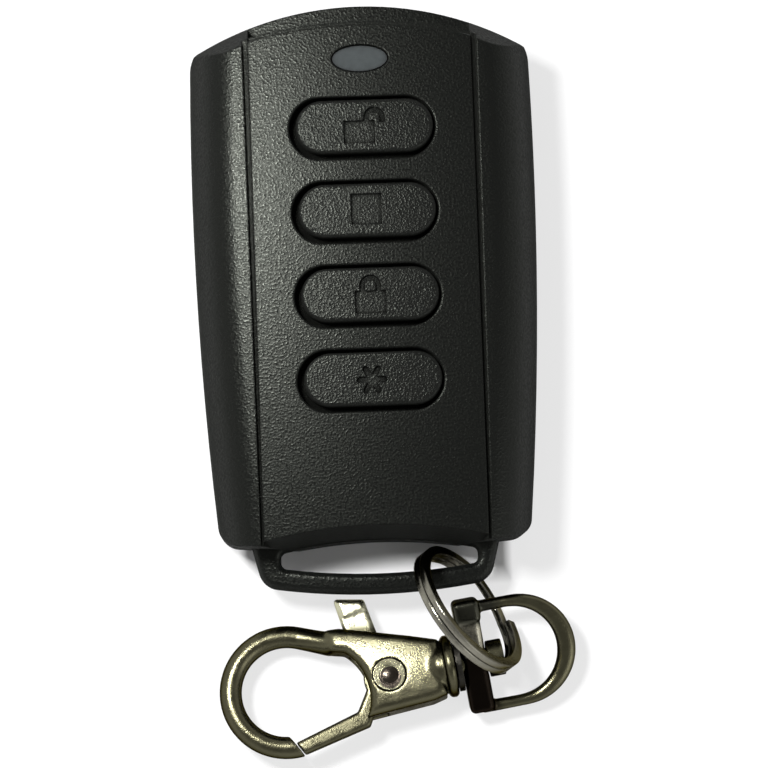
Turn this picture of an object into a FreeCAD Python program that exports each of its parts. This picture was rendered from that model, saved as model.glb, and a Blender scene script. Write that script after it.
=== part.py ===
import FreeCAD, Part
import Sketcher
import math
import os

# Gate remote control with its split ring and swivel clasp, in millimetres.
# The fob lies on its back: +Z out of the front face, +Y towards the indicator end.
# The origin is the centre of the flat back face.

V = FreeCAD.Vector
doc = FreeCAD.newDocument("gate_remote")

# Driving dimensions
SHOULDER_SWEEP = 20.0
END_SWEEP = 90.0
SIZES = {
    # outline of the housing, seen from the front
    "body_length": 60.8,
    "half_top": 18.95,
    "half_bottom": 17.25,
    "top_rise": 5.39,
    "bottom_rise": 0.8,
    "side_bow": 0.88,
    "top_corner": 3.2,
    "bottom_corner": 2.4,
    # heights of the housing
    "thickness": 13.0,
    "parting_height": 6.4,
    "back_round": 1.6,
    "shoulder_radius": 5.2,
    "wall": 1.5,
    "cavity_top_gap": 3.6,
    "cavity_bottom_gap": 4.6,
    # raised panel between the two grooves
    "panel_half": 12.35,
    "panel_top_inset": 2.85,
    "panel_top_radius": 51.0,
    "panel_low_inset": 2.4,
    "panel_bottom_radius": 53.0,
    "end_draft": 11.0,
    "hole_round": 0.2,
    "lip_width": 0.5,
    "lip_depth": 0.8,
    "ledge_depth": 3.2,
    "groove_top_width": 0.75,
    "groove_low_width": 0.3,
    "groove_depth": 0.5,
    "end_round_height": 5.0,
    "end_round_inset": 2.2,
    # key loop moulded on the back shell
    "loop_bottom_height": 3.5,
    "loop_root_inset": 2.4,
    "loop_root_half": 14.3,
    "loop_low_half": 12.7,
    "loop_reach": 5.0,
    "loop_end_radius": 72.0,
    "loop_corner": 2.4,
    "loop_bar": 2.3,
    "slot_half": 11.0,
    "slot_x": 0.4,
    "slot_gap": 0.12,
    "loop_edge_round": 0.8,
    # buttons and window
    "button_length": 16.2,
    "button_width": 6.9,
    "button_pitch": 9.36,
    "button_inset": 14.4,
    "button_gap": 0.5,
    "cap_shift_x": 0.25,
    "cap_shift_y": 0.1,
    "button_proud": 0.5,
    "button_round": 0.4,
    "button_travel": 0.45,
    "flange_margin": 0.7,
    "flange_height": 0.7,
    "flange_gap": 0.1,
    "icon_depth": 0.35,
    # pictograms, measured from the middle of their button
    "square_left": -1.55,
    "square_low": -1.5,
    "square_side": 3.4,
    "lock_width": 3.45,
    "lock_body": 2.5,
    "shackle_radius": 1.2,
    "shackle_bar": 0.62,
    "open_lock_left": -2.05,
    "open_lock_low": -1.8,
    "open_shackle_x": 1.35,
    "open_shackle_y": 1.01,
    "open_shackle_foot": 0.45,
    "shut_lock_left": -1.44,
    "shut_lock_low": -2.03,
    "shut_shackle_x": 0.28,
    "shut_shackle_y": 1.04,
    "star_length": 3.4,
    "star_bar": 0.66,
    "star_x": 0.12,
    # indicator window over its light
    "window_inset": 6.64,
    "window_length": 6.1,
    "window_width": 2.85,
    "window_gap": 0.15,
    "window_sink": 0.25,
    "pipe_collar": 0.7,
    "pipe_margin": 0.5,
    "pipe_foot_gap": 0.3,
    "led_length": 3.0,
    "led_width": 1.6,
    "led_height": 0.9,
    # circuit board and what it carries
    "board_half_width": 11.2,
    "board_low_inset": 6.4,
    "board_high_inset": 7.0,
    "board_end_radius": 36.0,
    "board_height": 6.3,
    "board_thickness": 1.0,
    "board_corner": 1.5,
    "post_x": 9.6,
    "post_top_inset": 9.8,
    "post_low_inset": 8.8,
    "post_width": 1.4,
    "board_pin": 0.6,
    "switch_size": 6.0,
    "switch_height": 2.0,
    "plunger_radius": 1.6,
    "plunger_gap": 0.08,
    "plunger_bore": 1.2,
    "cell_radius": 10.0,
    "cell_height": 3.2,
    "cell_place": -8.0,
    "cell_gap": 0.3,
    "cell_rib": 0.8,
    "cell_rib_height": 1.9,
    "cell_cap_radius": 8.6,
    "cell_cap_height": 0.3,
    "contact_thickness": 0.25,
    "clip_width": 6.0,
    "clip_height": 2.6,
    "contact_width": 3.0,
    "contact_root": 6.0,
    "contact_bend": 2.0,
    "contact_touch": 1.2,
    "contact_flat": 0.8,
    "contact_tip": 1.8,
    "contact_lift": 0.6,
    "chip_length": 5.0,
    "chip_width": 3.9,
    "chip_height": 1.5,
    "chip_inset": 18.4,
    "lead_pitch": 1.27,
    "lead_width": 0.42,
    "lead_reach": 1.0,
    "lead_height": 0.2,
    "can_length": 5.0,
    "can_width": 3.5,
    "can_height": 1.3,
    "can_x": -6.6,
    "can_inset": 14.4,
    "crystal_radius": 1.0,
    "crystal_length": 5.2,
    "crystal_x": 6.2,
    "crystal_inset": 21.8,
    "trimmer_radius": 1.7,
    "trimmer_height": 1.2,
    "trimmer_slit": 0.5,
    "trimmer_x": 6.6,
    "trimmer_inset": 14.4,
    "small_length": 1.6,
    "small_width": 0.8,
    "small_height": 0.5,
    "small_x": 6.5,
    "small_pitch": 2.5,
    "antenna_half": 10.4,
    "antenna_margin": 1.5,
    "antenna_high_inset": 12.0,
    "antenna_wire": 0.6,
    # screws
    "screw_x": 13.6,
    "screw_top_inset": 9.8,
    "screw_low_inset": 7.8,
    "screw_radius": 1.0,
    "screw_head_radius": 1.8,
    "screw_head_height": 1.3,
    "screw_recess": 0.5,
    "screw_length": 8.4,
    "screw_gap": 0.1,
    "screw_fit": 0.02,
    "screw_tip": 0.6,
    "cross_length": 2.2,
    "cross_width": 0.4,
    "cross_depth": 0.5,
    "boss_radius": 2.1,
    # split ring
    "ring_radius": 8.05,
    "ring_depth": 1.15,
    "ring_strip": 0.68,
    "ring_gap": 0.14,
    "ring_jog": 60.0,
    "ring_end_gap": 2.0,
    "ring_jog_place": 330.0,
    "ring_x": 9.96,
    "ring_drop": 7.13,
    "ring_z": 7.62,
    "ring_heading": 35.4,
    "ring_tilt": 65.2,
    # swivel clasp, in its own frame: x along the swivel axis, y towards the fob
    "clasp_x": 1.05,
    "clasp_drop": 14.32,
    "clasp_height": 3.6,
    "clasp_turn": 8.73,
    "clasp_roll": -9.0,
    "hook_x": -11.6,
    "hook_y": 0.55,
    "hook_radius": 6.25,
    "hook_wire": 2.5,
    "hook_root_turn": 68.0,
    "hook_sweep": 217.0,
    "hook_root_length": 4.0,
    "hook_root_height": 2.2,
    "hook_root_width": 1.35,
    "joint_x": -11.3,
    "joint_y": -5.9,
    "joint_turn": 29.0,
    "joint_gap": 0.15,
    "body_thick": 4.7,
    "body_round": 0.9,
    "neck_start": 4.0,
    "neck_root_radius": 2.2,
    "neck_taper": 1.4,
    "neck_radius": 2.85,
    "collar_start": 6.25,
    "collar_length": 1.15,
    "collar_radius": 3.5,
    "collar_round": 0.3,
    "washer_length": 0.6,
    "washer_radius": 3.0,
    "post_radius": 1.2,
    "post_head_radius": 2.05,
    "post_head_length": 1.8,
    "slot_height": 2.0,
    "slot_hub": 3.3,
    "running_gap": 0.08,
    "end_gap": 0.12,
    # swivel eye
    "bar_width": 2.8,
    "bar_low": 5.7,
    "bar_high": 6.4,
    "bar_thick": 3.0,
    "bar_round": 0.6,
    "block_low": 4.5,
    "block_high": 7.1,
    "block_proud": 0.2,
    "eye_roll": 11.0,
    "eye_straight": 3.9,
    "eye_half": 6.3,
    "eye_leg": 1.25,
    "eye_hole_back": 0.9,
    "eye_thick": 1.65,
    "eye_offset": 0.4,
    # gate, rivet and return spring
    "rivet_radius": 0.9,
    "rivet_head_radius": 1.77,
    "rivet_seat_radius": 1.85,
    "rivet_seat_depth": 0.35,
    "rivet_dome": 1.0,
    "rivet_dome_height": 0.2,
    "rivet_groove": 0.12,
    "rivet_groove_depth": 0.15,
    "rivet_proud": 0.12,
    "gate_thick": 1.8,
    "gate_hub": 2.9,
    "gate_round": 0.45,
    "lever_round": 0.3,
    "lever_pad": 0.25,
    "spring_wire": 0.3,
    "spring_radius": 1.45,
    "spring_pitch": 0.42,
    "spring_turns": 2.0,
    "spring_seat_radius": 1.95,
    "spring_seat_depth": 1.35,
}

# Corners of the clasp's cast outlines, in the clasp's own frame
OUTLINES = {
    "plate": [(-4.5, 3.5), (-3.3, -4.2), (4.4, -3.7), (6.0, -3.3), (6.0, 3.0), (3.0, 4.0),
              (-4.6, 6.3), (-6.2, 6.4), (-6.2, 3.9)],
    "gate": [(-13.0, -5.71), (-13.0, -7.27), (-3.1, -5.04), (-1.6, -2.4), (1.6, 2.2), (-0.45, 5.1),
             (-1.2, 9.2), (-4.6, 9.85), (-4.1, 6.16), (-2.5, 1.3), (-2.75, -0.9), (-4.2, -3.2)],
    "lever": [(-1.3, 8.0), (-1.62, 8.85), (-4.12, 9.33), (-3.78, 7.5)],
    "room": [(-4.7, 9.5), (-3.9, 3.0), (-9.0, 3.0), (-9.0, -9.0), (-0.9, -9.0), (-0.9, -3.0),
             (3.1, -1.2), (3.4, 0.0), (3.4, 9.5)],
}
for outline_name, corners in OUTLINES.items():
    for number, (x, y) in enumerate(corners):
        SIZES["%s_x_%d_at" % (outline_name, number)] = x
        SIZES["%s_y_%d_at" % (outline_name, number)] = y

# Sizes that follow from the driving dimensions
DERIVED = {
    "half_length": "body_length / 2",
    "panel_top": "half_length - panel_top_inset",
    "panel_bottom": "half_length - panel_low_inset",
    "loop_root": "half_length - loop_root_inset",
    "loop_end": "half_length + loop_reach",
    "button_first": "half_length - button_inset",
    "window_place": "half_length - window_inset",
    "board_low_end": "half_length - board_low_inset",
    "board_high_end": "half_length - board_high_inset",
    "post_top": "half_length - post_top_inset",
    "post_bottom": "half_length - post_low_inset",
    "screw_top": "half_length - screw_top_inset",
    "screw_bottom": "half_length - screw_low_inset",
    "antenna_low": "3 * button_pitch - button_first + switch_size / 2 + antenna_margin",
    "can_y": "half_length - can_inset",
    "trimmer_y": "half_length - trimmer_inset",
    "chip_y": "half_length - chip_inset",
    "crystal_y": "half_length - crystal_inset",
    "antenna_high": "half_length - antenna_high_inset",
    "ring_y": "-half_length - ring_drop",
    "clasp_y": "-half_length - clasp_drop",
    "arch_drop": "(thickness - parting_height) * tan(end_draft)",
    "slot_top": "panel_bottom + arch_drop + slot_gap",
    "slot_top_radius": "panel_bottom_radius - arch_drop - slot_gap",
    "end_round_radius": "(end_round_inset^2 + end_round_height^2) / (2 * end_round_inset)",
    "top_corner_y": "half_length - top_rise",
    "bottom_corner_y": "bottom_rise - half_length",
    "top_radius": "(half_top^2 + top_rise^2) / (2 * top_rise)",
    "bottom_radius": "(half_bottom^2 + bottom_rise^2) / (2 * bottom_rise)",
    "side_chord": "sqrt((half_top - half_bottom)^2 + (top_corner_y - bottom_corner_y)^2)",
    "side_radius": "side_chord^2 / (8 * side_bow) + side_bow / 2",
    "side_centre_x": "(half_top + half_bottom) / 2"
                     " - (top_corner_y - bottom_corner_y) / side_chord * (side_radius - side_bow)",
    "side_centre_y": "(top_corner_y + bottom_corner_y) / 2"
                     " + (half_top - half_bottom) / side_chord * (side_radius - side_bow)",
    "widest": "side_centre_x + side_radius",
    "shoulder_top": "thickness - shoulder_radius",
    "cap_length": "button_length - 2 * button_gap",
    "cap_width": "button_width - 2 * button_gap",
    "ceiling": "thickness - wall",
    "cap_top": "thickness + button_proud",
    "flange_top": "ceiling - flange_gap",
    "board_top": "board_height + board_thickness",
    "switch_top": "board_top + switch_height",
    "led_top": "board_top + led_height",
    "plunger_top": "flange_top - flange_height",
    "collar_end": "collar_start + collar_length",
    "washer_start": "collar_end + end_gap",
    "bar_start": "washer_start + washer_length + end_gap",
    "bar_end": "bar_start + bar_width",
    "head_start": "bar_end + end_gap",
    "eye_centre": "bar_end + eye_straight",
    "cell_bottom": "wall + cell_gap",
    "panel_top_end": "panel_top - panel_top_radius + sqrt(panel_top_radius^2 - panel_half^2)",
    "panel_low_end": "panel_bottom + panel_bottom_radius - sqrt(panel_bottom_radius^2 - panel_half^2)",
    "loop_low_end": "loop_end - loop_end_radius + sqrt(loop_end_radius^2 - loop_low_half^2)",
    "slot_low_radius": "loop_end_radius - loop_bar",
    "slot_low_end": "loop_end - loop_end_radius + sqrt(slot_low_radius^2 - slot_half^2)",
    "slot_top_end": "slot_top + slot_top_radius - sqrt(slot_top_radius^2 - slot_half^2)",
    "slot_end_round": "0.45 * (slot_low_end - slot_top_end)",
    "loop_side": "(loop_root_half + loop_low_half) / 2 - slot_half - slot_x",
    "loop_edge": "min(loop_edge_round; 0.4 * loop_bar; 0.42 * loop_side)",
    "screw_head_top": "screw_recess + screw_head_height",
    "screw_end": "screw_recess + screw_length",
    "pipe_foot": "led_top + pipe_foot_gap",
    "plunger_foot": "switch_top - plunger_bore + button_travel + flange_gap",
    "cell_top": "cell_bottom + cell_height",
    "ring_layer": "ring_strip + ring_gap",
    "rivet_top": "body_thick / 2 + rivet_proud",
    "rivet_seat_floor": "body_thick / 2 - rivet_seat_depth",
    "dome_radius": "(rivet_dome^2 + rivet_dome_height^2) / (2 * rivet_dome_height)",
    "spring_low": "gate_thick / 2 - spring_seat_depth + spring_wire",
    "eye_edge": "0.42 * eye_leg",
    "joint_along_x": "cos(joint_turn)",
    "joint_along_y": "sin(joint_turn)",
    "beyond": "body_length",
}

sheet = doc.addObject("Spreadsheet::Sheet", "Sizes")
for row, (alias, number) in enumerate(list(SIZES.items()) + list(DERIVED.items()), 1):
    text = str(number) if alias in SIZES else "=" + number
    sheet.set("A%d" % row, alias)
    sheet.set("B%d" % row, text)
    sheet.setAlias("B%d" % row, alias)
doc.recompute()


def size(alias):
    return float(getattr(sheet, alias))


def formula(text):
    """The same formula with every alias pointed at the sheet."""
    out = []
    word = ""
    for letter in text + " ":
        if letter.isalnum() or letter == "_":
            word += letter
            continue
        out.append("Sizes." + word if word in SIZES or word in DERIVED else word)
        out.append(letter)
        word = ""
    return "".join(out).strip()


def number_of(text):
    result = sheet.evalExpression(formula(str(text)))
    return float(getattr(result, "Value", result))


def bind(thing, where, text):
    thing.setExpression(where, formula(str(text)))


# Sketches and features
def origin_plane(body, role):
    return next(part for part in body.Origin.OriginFeatures if part.Role == role)


def new_body(name):
    body = doc.addObject("PartDesign::Body", name)
    body.Label = name
    return body


def new_sketch(body, name, plane="XY_Plane", lift=None):
    sketch = body.newObject("Sketcher::SketchObject", name)
    sketch.AttachmentSupport = (origin_plane(body, plane), [""])
    sketch.MapMode = "FlatFace"
    if lift is not None:
        bind(sketch, ".AttachmentOffset.Base.z", lift)
    return sketch


def set_dim(sketch, kind, refs, text):
    """A dimension whose value is a formula of the sheet."""
    index = sketch.addConstraint(Sketcher.Constraint(kind, *refs, number_of(text)))
    name = "dim%d" % index
    sketch.renameConstraint(index, name)
    bind(sketch, "Constraints." + name, text)


def arc_between(start, end, radius, side):
    """Arc from start to end that bulges to the left (side 1) or to the right (side -1)."""
    chord = end - start
    half = chord.Length / 2
    rise = radius - math.sqrt(max(radius ** 2 - half ** 2, 0))
    left = V(-chord.y, chord.x, 0).normalize()
    middle = (start + end) / 2 + left * rise * side
    return Part.Arc(end, middle, start) if side > 0 else Part.Arc(start, middle, end)


def outline(sketch, points, arcs=None):
    """A closed outline through points given as pairs of formulas.

    arcs maps the number of a side to (radius formula, side): that side is an arc.
    A radius of "half" makes a level or upright side a half circle.
    """
    arcs = arcs or {}
    spots = [V(number_of(x), number_of(y), 0) for x, y in points]
    first = sketch.GeometryCount
    count = len(spots)
    for i, start in enumerate(spots):
        end = spots[(i + 1) % count]
        if i in arcs:
            radius, side = arcs[i]
            reach = (end - start).Length / 2 if radius == "half" else number_of(radius)
            sketch.addGeometry(arc_between(start, end, reach, side), False)
        else:
            sketch.addGeometry(Part.LineSegment(start, end), False)
    ends = [(2, 1) if i in arcs and arcs[i][1] > 0 else (1, 2) for i in range(count)]
    for i in range(count):
        following = (i + 1) % count
        joint = ("Coincident", first + i, ends[i][1], first + following, ends[following][0])
        sketch.addConstraint(Sketcher.Constraint(*joint))
    for i, (x, y) in enumerate(points):
        set_dim(sketch, "DistanceX", (-1, 1, first + i, ends[i][0]), x)
        set_dim(sketch, "DistanceY", (-1, 1, first + i, ends[i][0]), y)
    for i, (radius, side) in arcs.items():
        if radius == "half":
            chord = spots[(i + 1) % count] - spots[i]
            kind = "Horizontal" if abs(chord.x) > abs(chord.y) else "Vertical"
            sketch.addConstraint(Sketcher.Constraint(kind, first + i, 3, first + i, 1))
        else:
            set_dim(sketch, "Radius", (first + i,), radius)
    return sketch


def cast_outline(sketch, name, arcs=None):
    """One of the outlines whose corners are cells of the sheet."""
    corners = [("%s_x_%d_at" % (name, i), "%s_y_%d_at" % (name, i)) for i in range(len(OUTLINES[name]))]
    return outline(sketch, corners, arcs)


def circle(sketch, x, y, radius):
    index = sketch.addGeometry(Part.Circle(V(number_of(x), number_of(y), 0), V(0, 0, 1), number_of(radius)))
    set_dim(sketch, "DistanceX", (-1, 1, index, 3), x)
    set_dim(sketch, "DistanceY", (-1, 1, index, 3), y)
    set_dim(sketch, "Radius", (index,), radius)


def pill(sketch, x, y, length, width):
    """A slot with round ends, long side along X."""
    reach = "(%s) / 2 - (%s) / 2" % (length, width)
    half = "(%s) / 2" % width
    left, right = "(%s) - (%s)" % (x, reach), "(%s) + (%s)" % (x, reach)
    low, high = "(%s) - (%s)" % (y, half), "(%s) + (%s)" % (y, half)
    corners = ((left, low), (right, low), (right, high), (left, high))
    spots = [V(number_of(a), number_of(b), 0) for a, b in corners]
    h = number_of(half)
    first = sketch.GeometryCount
    sketch.addGeometry(Part.LineSegment(spots[0], spots[1]))
    sketch.addGeometry(Part.Arc(spots[1], (spots[1] + spots[2]) / 2 + V(h, 0, 0), spots[2]))
    sketch.addGeometry(Part.LineSegment(spots[2], spots[3]))
    sketch.addGeometry(Part.Arc(spots[3], (spots[3] + spots[0]) / 2 - V(h, 0, 0), spots[0]))
    for a, b in ((0, 1), (1, 2), (2, 3), (3, 0)):
        sketch.addConstraint(Sketcher.Constraint("Tangent", first + a, 2, first + b, 1))
    sketch.addConstraint(Sketcher.Constraint("Equal", first + 1, first + 3))
    set_dim(sketch, "DistanceX", (-1, 1, first, 1), left)
    set_dim(sketch, "DistanceY", (-1, 1, first, 1), low)
    set_dim(sketch, "DistanceX", (-1, 1, first, 2), right)
    set_dim(sketch, "DistanceY", (-1, 1, first, 2), low)
    set_dim(sketch, "Radius", (first + 1,), half)


def ellipse(sketch, x, y, half_long, half_short):
    centre = V(number_of(x), number_of(y), 0)
    index = sketch.addGeometry(Part.Ellipse(centre, number_of(half_long), number_of(half_short)))
    sketch.exposeInternalGeometry(index)
    major, minor = index + 1, index + 2
    sketch.addConstraint(Sketcher.Constraint("Horizontal", major))
    set_dim(sketch, "DistanceX", (-1, 1, index, 3), x)
    set_dim(sketch, "DistanceY", (-1, 1, index, 3), y)
    set_dim(sketch, "Distance", (major, 1, major, 2), "2 * (%s)" % half_long)
    set_dim(sketch, "Distance", (minor, 1, minor, 2), "2 * (%s)" % half_short)


def feature(body, kind, name, sketch, **values):
    made = body.newObject("PartDesign::" + kind, name)
    made.Profile = sketch
    for key, value in values.items():
        if isinstance(value, str) and key in ("Length", "Angle", "TaperAngle", "Length2"):
            bind(made, key, value)
        else:
            setattr(made, key, value)
    return made


def pad(body, name, sketch, length, **values):
    return feature(body, "Pad", name, sketch, Length=length, **values)


def pocket(body, name, sketch, length=None, **values):
    """A cut that has to take something away: its direction is checked later by volume."""
    if length is None:
        return feature(body, "Pocket", name, sketch, Type="ThroughAll", **values)
    return feature(body, "Pocket", name, sketch, Length=length, **values)


def edges_of(shape, test):
    return ["Edge%d" % (i + 1) for i, edge in enumerate(shape.Edges) if test(edge)]


def is_upright(edge):
    spread = edge.BoundBox
    return spread.XLength + spread.YLength < 0.01 and spread.ZLength > 0.5


def is_level(edge, height):
    spread = edge.BoundBox
    return abs(spread.ZMin - height) < 1e-4 and abs(spread.ZMax - height) < 1e-4


def dress(body, kind, name, base, edges, amount):
    """Fillet or Chamfer on named edges of base."""
    made = body.newObject("PartDesign::" + kind, name)
    made.Base = (base, edges)
    bind(made, "Radius" if kind == "Fillet" else "Size", amount)
    return made


def finish_node(thing, label):
    thing.Label = label
    NODES.append(thing)
    return thing


NODES = []


def join(name, parts):
    made = doc.addObject("Part::MultiFuse", name)
    made.Shapes = parts
    return made


def cut(name, base, tool):
    made = doc.addObject("Part::Cut", name)
    made.Base = base
    made.Tool = tool
    return made


def box(name, x, y, z, length, width, height):
    """A block centred on x and y, standing on z."""
    made = doc.addObject("Part::Box", name)
    bind(made, "Length", length)
    bind(made, "Width", width)
    bind(made, "Height", height)
    bind(made, ".Placement.Base.x", "(%s) - (%s) / 2" % (x, length))
    bind(made, ".Placement.Base.y", "(%s) - (%s) / 2" % (y, width))
    bind(made, ".Placement.Base.z", z)
    return made


def rod(name, x, y, z, radius, height):
    made = doc.addObject("Part::Cylinder", name)
    bind(made, "Radius", radius)
    bind(made, "Height", height)
    bind(made, ".Placement.Base.x", x)
    bind(made, ".Placement.Base.y", y)
    bind(made, ".Placement.Base.z", z)
    return made


# Housing
def housing_outline(sketch, side="0", top="0", bottom="0"):
    """The shield outline, drawn in by a wall at the sides, at the top and at the bottom."""
    top_x = "half_top - (%s)" % side
    low_x = "half_bottom - (%s)" % side
    top_y = "top_corner_y - (%s)" % top
    low_y = "bottom_corner_y + (%s)" % bottom
    points = [("-(%s)" % low_x, low_y), (low_x, low_y), (top_x, top_y), ("-(%s)" % top_x, top_y)]
    arcs = {
        0: ("bottom_radius", -1),
        1: ("side_radius", -1),
        2: ("top_radius", -1),
        3: ("side_radius", -1),
    }
    return outline(sketch, points, arcs)


def round_corners(body, name, block):
    """The wide top corners and the tight bottom corners of the shield outline."""
    doc.recompute()
    tops = edges_of(block.Shape, lambda edge: is_upright(edge) and edge.CenterOfMass.y > 0)
    rounded = dress(body, "Fillet", name + "_top_corners", block, tops, "top_corner")
    doc.recompute()
    lows = edges_of(rounded.Shape, lambda edge: is_upright(edge) and edge.CenterOfMass.y < 0)
    return dress(body, "Fillet", name + "_low_corners", rounded, lows, "bottom_corner")


def shoulder_cut(body, name, side, inset):
    """Rounds one long top edge of the housing with a profile turned about the side arc's centre."""
    sketch = new_sketch(body, name + "_profile", "XZ_Plane", "-side_centre_y")
    axis_x = "%s * side_centre_x" % side
    centre_x = "%s * (widest - shoulder_radius)" % side
    outer_x = "%s * (widest - (%s))" % (side, inset)
    beyond = "%s * (widest + shoulder_radius)" % side
    top = "thickness - (%s)" % inset
    above = "thickness + shoulder_radius"
    points = [(centre_x, top), (outer_x, "shoulder_top"), (beyond, "shoulder_top"),
              (beyond, above), (centre_x, above)]
    bulge = 1 if side == "1" else -1
    outline(sketch, points, {0: ("shoulder_radius - (%s)" % inset, bulge)})
    foot, head = V(number_of(axis_x), 0, 0), V(number_of(axis_x), size("shoulder_top"), 0)
    axis = sketch.addGeometry(Part.LineSegment(foot, head), True)
    sketch.addConstraint(Sketcher.Constraint("Vertical", axis))
    set_dim(sketch, "DistanceX", (-1, 1, axis, 1), axis_x)
    set_dim(sketch, "DistanceY", (-1, 1, axis, 1), "0")
    set_dim(sketch, "DistanceY", (axis, 1, axis, 2), "shoulder_top")
    made = body.newObject("PartDesign::Groove", name)
    made.Profile = sketch
    made.ReferenceAxis = (sketch, ["Axis0"])
    made.Angle = SHOULDER_SWEEP
    made.Midplane = True
    return made


def end_round(body):
    """Rounds the top end of the case with a profile turned about the centre of its top arc."""
    sketch = new_sketch(body, "end_round_profile", "YZ_Plane")
    near, far, outside = "half_length - end_round_inset", "half_length", "half_length + shoulder_radius"
    low, above = "thickness - end_round_height", "thickness + shoulder_radius"
    outline(sketch, [(near, "thickness"), (far, low), (outside, low), (outside, above), (near, above)],
            {0: ("end_round_radius", 1)})
    axis_y = "half_length - top_radius"
    foot, head = V(number_of(axis_y), 0, 0), V(number_of(axis_y), size("thickness"), 0)
    axis = sketch.addGeometry(Part.LineSegment(foot, head), True)
    sketch.addConstraint(Sketcher.Constraint("Vertical", axis))
    set_dim(sketch, "DistanceX", (-1, 1, axis, 1), axis_y)
    set_dim(sketch, "DistanceY", (-1, 1, axis, 1), "0")
    set_dim(sketch, "DistanceY", (axis, 1, axis, 2), "thickness")
    made = body.newObject("PartDesign::Groove", "end_round")
    made.Profile = sketch
    made.ReferenceAxis = (sketch, ["Axis0"])
    made.Angle = END_SWEEP
    made.Midplane = True
    return made


def housing_form(name, inset, top_gap, bottom_gap):
    """The closed form of the front half: the outline with its two rounded shoulders."""
    body = new_body(name)
    sketch = new_sketch(body, name + "_outline", lift="parting_height")
    housing_outline(sketch, inset, top_gap, bottom_gap)
    block = pad(body, name + "_block", sketch, "thickness - parting_height - (%s)" % inset)
    round_corners(body, name, block)
    shoulder_cut(body, name + "_shoulder_right", "1", inset)
    shoulder_cut(body, name + "_shoulder_left", "-1", inset)
    return body


def across(sketch, reach, near, far, radius, bulge):
    """A band across the fob whose near side is an arc and whose far side lies outside."""
    points = [("-(%s)" % reach, near), (reach, near), (reach, far), ("-(%s)" % reach, far)]
    return outline(sketch, points, {0: (radius, bulge)})


def button_place(index):
    return "button_first - %d * button_pitch" % index


def screw_places():
    return [("screw_x", "screw_top", "a"), ("-screw_x", "screw_top", "b"),
            ("screw_x", "-screw_bottom", "c"), ("-screw_x", "-screw_bottom", "d")]


def post_places():
    return [("post_x", "post_top", "a"), ("-post_x", "post_top", "b"),
            ("post_x", "-post_bottom", "c"), ("-post_x", "-post_bottom", "d")]


def make_front_shell():
    body = housing_form("front_form", "0", "0", "0")
    end_round(body)
    lip = new_sketch(body, "panel_lip_outline", lift="thickness")
    across(lip, "panel_half", "panel_top_end", "beyond", "panel_top_radius", 1)
    pocket(body, "panel_lip", lip, "lip_depth")
    ledge = new_sketch(body, "top_ledge_outline", lift="thickness")
    across(ledge, "panel_half", "panel_top_end + lip_width", "beyond", "panel_top_radius + lip_width", 1)
    pocket(body, "top_ledge", ledge, "ledge_depth")
    arch = new_sketch(body, "bottom_arch_outline", lift="thickness")
    across(arch, "panel_half", "-panel_low_end", "-beyond", "panel_bottom_radius", 1)
    pocket(body, "bottom_arch", arch, "thickness - parting_height", TaperAngle="-end_draft")
    grooves = new_sketch(body, "groove_outlines", lift="thickness")
    for side in (1, -1):
        near = "%d * panel_half" % side
        low, high = ("%d * (panel_half + groove_%s_width)" % (side, end) for end in ("low", "top"))
        outline(grooves, [(near, "-loop_end"), (low, "-loop_end"), (high, "loop_end"), (near, "loop_end")])
    pocket(body, "grooves", grooves, "groove_depth")
    holes = new_sketch(body, "button_hole_outlines", lift="thickness")
    for index in range(len(BUTTONS)):
        pill(holes, "0", button_place(index), "button_length", "button_width")
    holes_cut = pocket(body, "button_holes", holes, "2 * wall")
    doc.recompute()
    top = size("thickness")

    def is_hole_rim(edge):
        spread = edge.BoundBox
        return is_level(edge, top) and spread.YLength < size("button_width") + 0.01 \
            and spread.XLength < size("button_length") \
            and abs(edge.CenterOfMass.x) < size("panel_half") - 1 \
            and abs(edge.CenterOfMass.y) < size("button_first") + size("button_width")

    dress(body, "Fillet", "hole_rims", holes_cut, edges_of(holes_cut.Shape, is_hole_rim), "hole_round")
    window = new_sketch(body, "window_outline", lift="thickness")
    ellipse(window, "0", "window_place", "window_length / 2 + window_gap", "window_width / 2 + window_gap")
    pocket(body, "window_hole", window, "2 * wall")
    cavity = housing_form("front_cavity", "wall", "cavity_top_gap", "cavity_bottom_gap")
    parts = [cut("front_hollow", body, cavity)]
    pilots = []
    for x, y, tag in screw_places():
        parts.append(rod("front_boss_" + tag, x, y, "parting_height", "boss_radius",
                         "ceiling + wall / 5 - parting_height"))
        pilots.append(rod("front_pilot_" + tag, x, y, "0", "screw_radius + screw_fit",
                          "screw_end + screw_tip"))
    return cut("front_shell", join("front_with_bosses", parts), join("front_pilots", pilots))


def slot_outline(sketch):
    """The key slot: curved with the loop below and with the case's arch above."""
    left, right = "slot_x - slot_half", "slot_x + slot_half"
    points = [(left, "-slot_low_end"), (right, "-slot_low_end"),
              (right, "-slot_top_end"), (left, "-slot_top_end")]
    return outline(sketch, points, {0: ("slot_low_radius", -1), 2: ("slot_top_radius", -1)})


def make_slot_cutter():
    """The key slot where it runs through the end wall of the case."""
    body = new_body("key_slot_form")
    sketch = slot_outline(new_sketch(body, "key_slot_form_outline"))
    pad(body, "key_slot_block", sketch, "2 * thickness", Midplane=True)
    return body


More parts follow.
